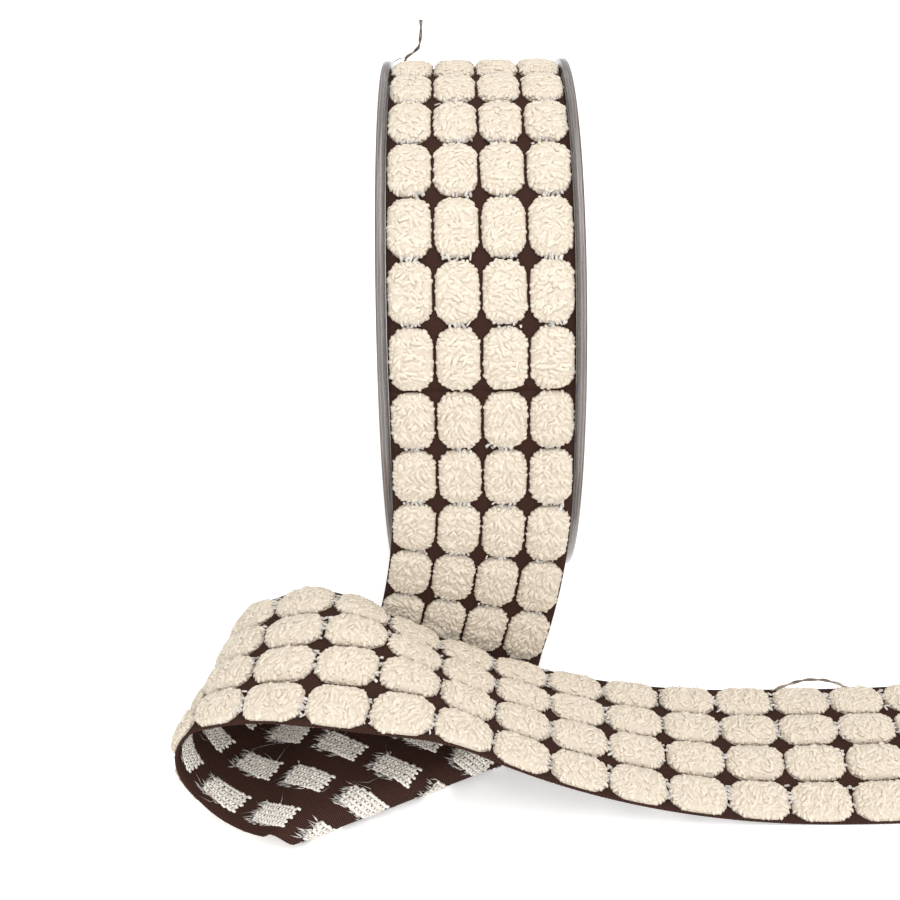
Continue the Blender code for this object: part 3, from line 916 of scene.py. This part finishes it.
def fringe_of(patches, middle, rng):
    """The loose fibres of a column's patches, at one end and along one side, and a few long hairs."""
    shape = (patches, FIBRES)
    at_end = np.arange(FIBRES) < END_FIBRES
    half = CHAIN * CHAINS / 2
    a = np.where(at_end, rng.uniform(-half, half, shape), -half + rng.normal(0.1, 0.2, shape))
    b = np.where(at_end, PATCH_END + rng.normal(0, 0.4, shape), rng.uniform(-1.5, PATCH_END, shape))
    way_a = np.where(at_end, rng.normal(-0.4, 0.6, shape), rng.uniform(-0.9, 0.1, shape))
    way_b = rng.uniform(0.5, 2.6, shape)
    back = np.full(shape, -CLOTH - 0.1)
    root, tip = (a, b, back), (a + way_a, b + way_b, back - rng.uniform(0, 0.35, shape))
    tone = rng.uniform(0.1, 0.9, shape)
    short = hairs_between(root, tip, rng.uniform(0.1, 0.2, shape), rng.normal(0, 0.2, shape), tone)
    shape = (patches, LONG_HAIRS)
    a, b = rng.uniform(-half, half, shape), rng.uniform(-3.5, 4.5, shape)
    turn, length = rng.normal(0.2, 1.0, shape), rng.uniform(*LONG_HAIR_LENGTH, shape)
    back = np.full(shape, -CLOTH - 0.12)
    within = WIDTH / 2 - 0.5
    tip_a = np.clip(middle + a + length * np.sin(turn), -within, within) - middle
    root, tip = (a, b, back), (tip_a, b + length * np.cos(turn), back)
    tone = rng.uniform(0.2, 1.0, shape)
    half_width = np.full(shape, LONG_HAIR_HALF_WIDTH)
    return [short, hairs_between(root, tip, half_width, rng.normal(0, 0.8, shape), tone)]


float_yarn = soft_yarn("float_yarn", (0.52, 0.465, 0.4), (0.84, 0.785, 0.705), (0.94, 0.9, 0.84))
for column, middle in enumerate(COLUMN_MIDDLES, start=1):
    rng = np.random.default_rng(70 + column)
    row_lines = np.arange(1, TAIL_ROWS).astype(float)
    points, faces, flat = gathered(stitches_of(len(row_lines), rng), row_lines, middle, on_tail)
    floats = add_piece(f"floats_{column}", points, faces, [float_yarn], "ribbon_tail", uv=flat)
    points, faces, flat = gathered(fringe_of(len(row_lines), middle, rng), row_lines, middle, on_tail)
    fringe = add_piece(f"float_fringe_{column}", points, faces, [grey], "ribbon_tail", uv=flat)
    tail_trim += [floats, fringe]

# The selvedges: a fine filament is caught in small loops along both edges of the ribbon, where it shows as
# pale dots beside the blocks.
LOOPS_A_ROW = 20
LOOP_INSIDE = 0.45
LOOP_OUTSIDE = 0.05
LOOP_HALF = 0.1
LOOP_HALF_WIDTH = (0.09, 0.15)


def loops_of(rows, rng):
    """Small loops over both selvedges, a row's loops along the second axis."""
    shape = (rows, 2 * LOOPS_A_ROW)
    cell = np.arange(2 * LOOPS_A_ROW)
    edge = np.where(cell < LOOPS_A_ROW, 1.0, -1.0)
    b = ((cell % LOOPS_A_ROW + 0.5) / LOOPS_A_ROW - 0.5) * ROW + rng.normal(0, 0.04, shape)
    root = (edge * (WIDTH / 2 - LOOP_INSIDE) + 0 * b, b - LOOP_HALF, np.full(shape, 0.02))
    tip = (edge * (WIDTH / 2 + LOOP_OUTSIDE) + 0 * b, b + LOOP_HALF, np.full(shape, -CLOTH / 2))
    tone = rng.uniform(0, 1, shape)
    return [hairs_between(root, tip, rng.uniform(*LOOP_HALF_WIDTH, shape), 0 * tone, tone)]


filament = soft_yarn("edge_filament", (0.13, 0.1, 0.085), (0.3, 0.255, 0.225), (0.62, 0.57, 0.52))
for strip, place, rows, node in STRIPS:
    rng = np.random.default_rng(90 + rows + len(strip))
    points, faces, flat = gathered(loops_of(rows, rng), np.arange(rows) + 0.5, 0.0, place)
    loops = add_piece(f"selvedge_{strip}", points, faces, [filament], node, uv=flat)
    if strip == "tail":
        tail_trim.append(loops)

# The stray threads: a frayed brown end of two twisted plies stands up behind the roll's top, with two paler
# fibres beside it. A slack loop of edge thread, also of two plies, rises from the loose end's far selvedge.
PLY_SIDES = 6
STEPS_A_KNOT = 8
SMOOTHINGS = 6
TONES_UP = 0.37
TONES_ASIDE = 0.1


def strand(path, radius, twist=0.0, ply=0.0, start_turn=0.0):
    """A closed tube along a path, with a radius at each knot. A ply lies off the path and turns about it."""
    share = np.linspace(0, len(path) - 1, STEPS_A_KNOT * (len(path) - 1) + 1)
    knots = np.arange(len(path))
    middle = np.stack([np.interp(share, knots, np.array(path)[:, axis]) for axis in range(3)], axis=1)
    for _ in range(SMOOTHINGS):
        middle[1:-1] = (middle[:-2] + 2 * middle[1:-1] + middle[2:]) / 4
    radii = np.interp(share, knots, radius)
    turn = start_turn + twist * share
    middle = middle + ply * np.stack([np.cos(turn), np.sin(turn), 0 * turn], axis=1)
    ahead = np.gradient(middle, axis=0)
    ahead /= np.linalg.norm(ahead, axis=1)[:, None]
    side = np.cross(ahead, (0.35, 0.9, 0.25))
    side /= np.linalg.norm(side, axis=1)[:, None]
    over = np.cross(ahead, side)
    rings = []
    for k in range(PLY_SIDES):
        angle = 2 * pi * k / PLY_SIDES
        rings.append(middle + radii[:, None] * (cos(angle) * side + sin(angle) * over))
    points = np.stack(rings, axis=1).reshape(-1, 3)
    faces = []
    for line in range(len(middle) - 1):
        for k in range(PLY_SIDES):
            after = (k + 1) % PLY_SIDES
            first = line * PLY_SIDES
            faces.append((first + k, first + after, first + PLY_SIDES + after, first + PLY_SIDES + k))
    faces.append(tuple(range(PLY_SIDES))[::-1])
    faces.append(tuple(len(points) - PLY_SIDES + k for k in range(PLY_SIDES)))
    return points, faces


def thread_piece(name, strands, finish, node):
    """One piece of several strands."""
    all_points, all_faces, base = [], [], 0
    for points, faces in strands:
        all_points.append(points)
        all_faces += [tuple(base + k for k in face) for face in faces]
        base += len(points)
    points = np.concatenate(all_points)
    flat = np.stack([(points[:, 2] * TONES_UP) % 1.0, points[:, 0] * TONES_ASIDE], axis=1)
    piece = add_piece(name, points, all_faces, [finish], node, uv=flat)
    return piece


thread_brown = soft_yarn("thread_brown", (0.11, 0.083, 0.068), (0.23, 0.18, 0.148), (0.4, 0.34, 0.285))
UPRIGHT = [
    (-18.6, 37.0, 113.6), (-17.9, 33.5, 119.5), (-17.3, 31.0, 122.5), (-15.1, 30.0, 124.1),
    (-13.8, 29.0, 125.6), (-13.2, 28.0, 129.1), (-13.1, 27.0, 132.7),
]
UPRIGHT_RADIUS = (0.18, 0.18, 0.24, 0.24, 0.23, 0.2, 0.26)
UPRIGHT_TWIST = 2.6
UPRIGHT_PLY = 0.22
upright = [strand(UPRIGHT, UPRIGHT_RADIUS, UPRIGHT_TWIST, UPRIGHT_PLY, turn) for turn in (0.0, pi)]
thread_piece("stray_thread_roll", upright, thread_brown, "ribbon_roll")
FIBRE_LEFT = [(-22.5, 33.5, 116.5), (-21.2, 31.0, 120.8), (-19.1, 31.0, 122.2), (-17.3, 31.0, 122.4)]
FIBRE_RIGHT = [(-13.7, 29.0, 125.5), (-13.4, 30.0, 122.5), (-11.6, 30.5, 119.9), (-10.2, 33.0, 115.4)]
LEFT_RADIUS = (0.1, 0.1, 0.12, 0.08)
RIGHT_RADIUS = (0.05, 0.05, 0.05, 0.05)
fibres = [strand(FIBRE_LEFT, LEFT_RADIUS), strand(FIBRE_RIGHT, RIGHT_RADIUS)]
thread_piece("stray_fibres_roll", fibres, filament, "ribbon_roll")
LOOP = [
    (23.05, 19.6, -0.1), (23.3, 20.2, 1.3), (23.6, 20.6, 2.5), (23.95, 20.5, 2.6), (24.25, 20.1, 1.6),
    (24.5, 19.6, -0.1),
]
loop_rows, loop_across, loop_heights = np.array(LOOP).T
loop_path = on_tail(loop_rows, loop_across, loop_heights)
LOOP_RADIUS = (0.2,) * len(LOOP)
LOOP_TWIST = 3.4
LOOP_PLY = 0.26
loop_plies = [strand(loop_path, LOOP_RADIUS, LOOP_TWIST, LOOP_PLY, turn) for turn in (0.0, pi)]
slack_loop = thread_piece("slack_loop_tail", loop_plies, thread_brown, "ribbon_tail")
tail_trim.append(slack_loop)
